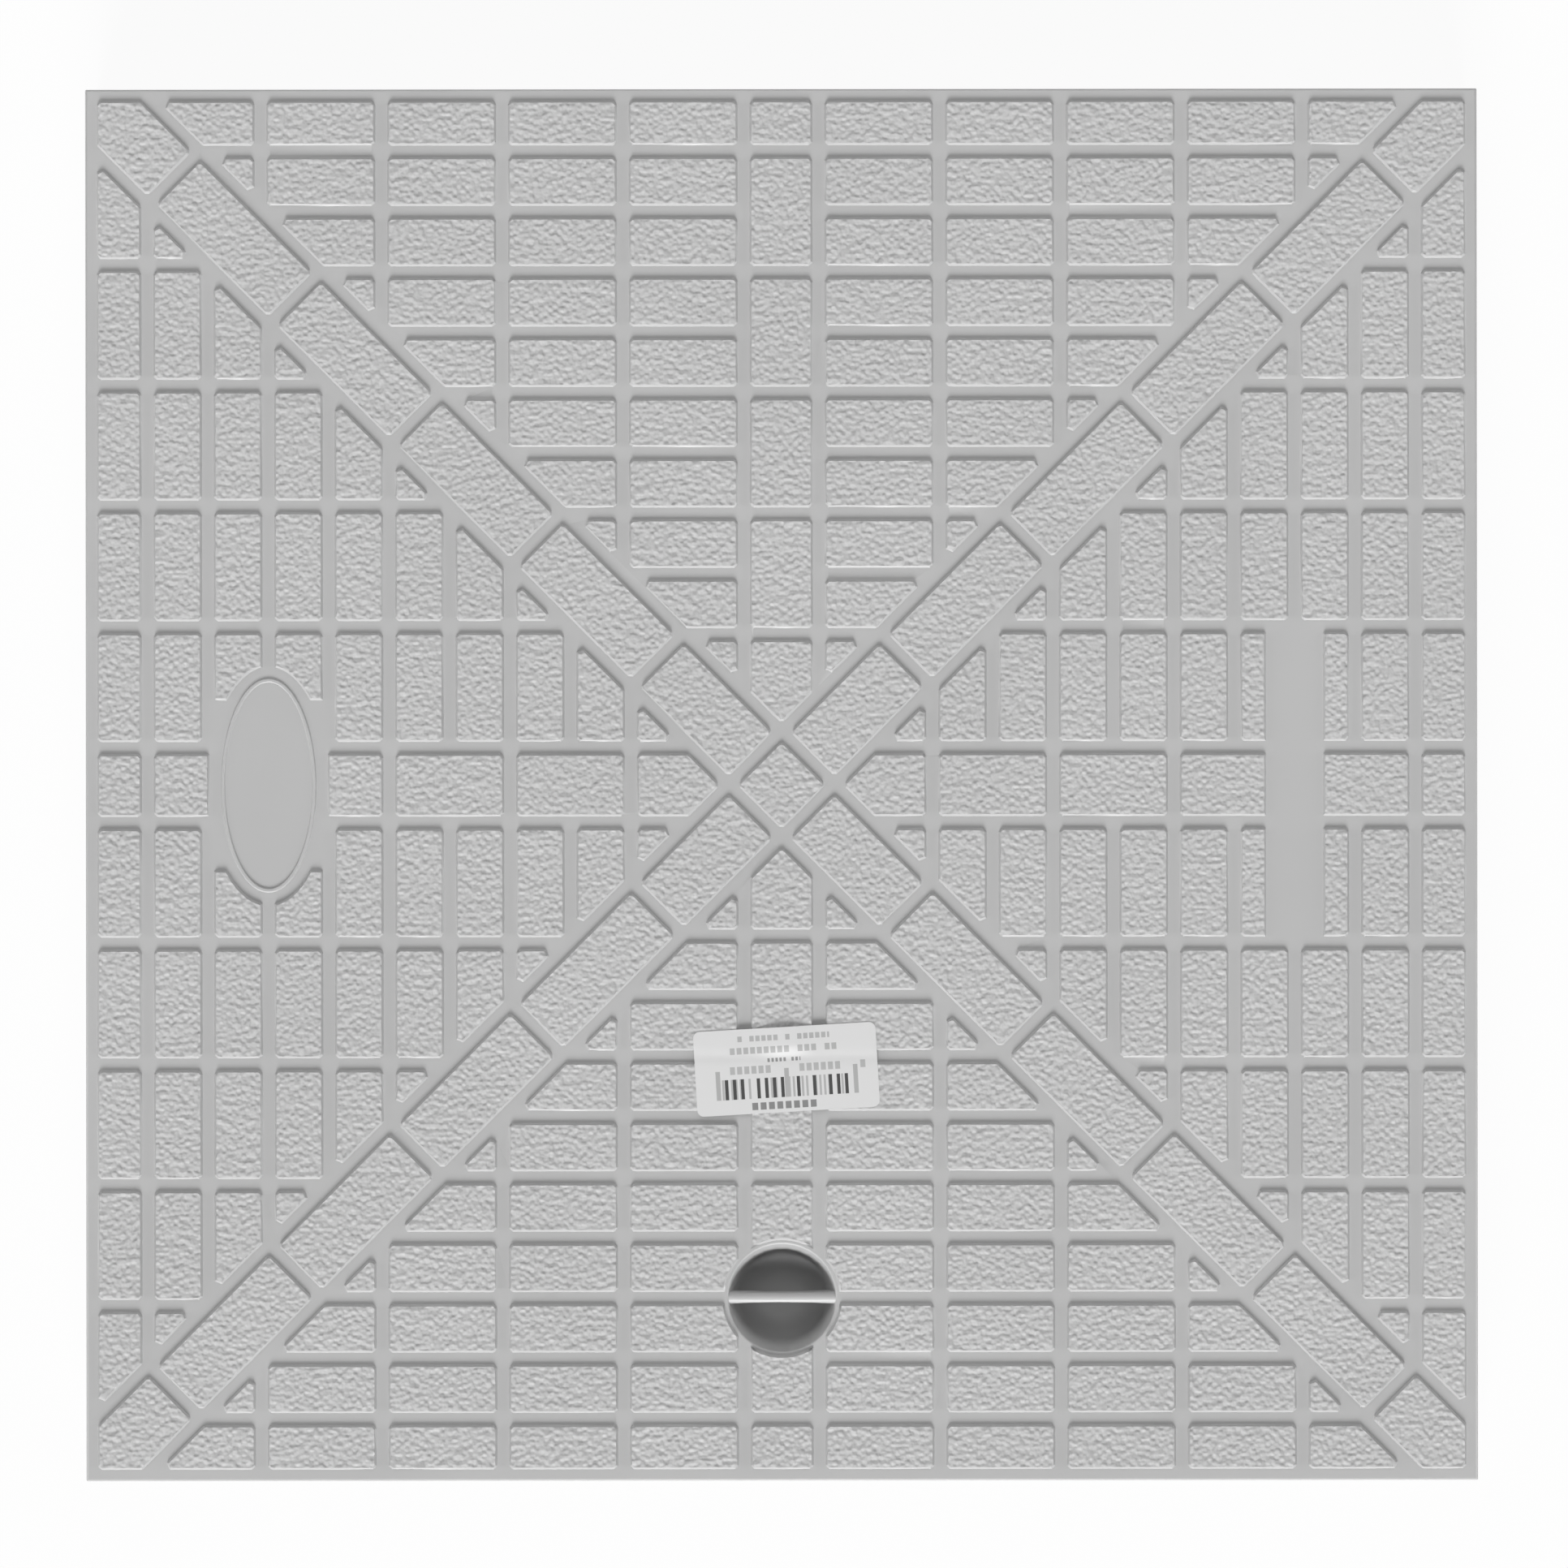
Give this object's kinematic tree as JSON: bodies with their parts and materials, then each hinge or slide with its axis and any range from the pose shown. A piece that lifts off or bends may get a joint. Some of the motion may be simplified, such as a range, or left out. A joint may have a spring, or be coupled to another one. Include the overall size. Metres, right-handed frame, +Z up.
{
  "type": "inspection cover",
  "caption": "Square moulded plastic inspection cover with a raised brick tread, a lifting cup with a bar across it and a ribbed underside.",
  "frame": {"origin": "middle of the plane that the skirt stands on", "axes": "+Z up through the tread, +X towards the plain strip, -Y towards the lifting cup"},
  "size_m": [0.4, 0.4, 0.0351],
  "materials": {
    "cover_plastic": "moulded polypropylene, light grey, smooth grooves and grained bricks",
    "label_paper": "white label paper, matt"
  },
  "bodies": {
    "root": {"cover": "cover_plastic", "label": "label_paper"}
  },
  "joints": []
}
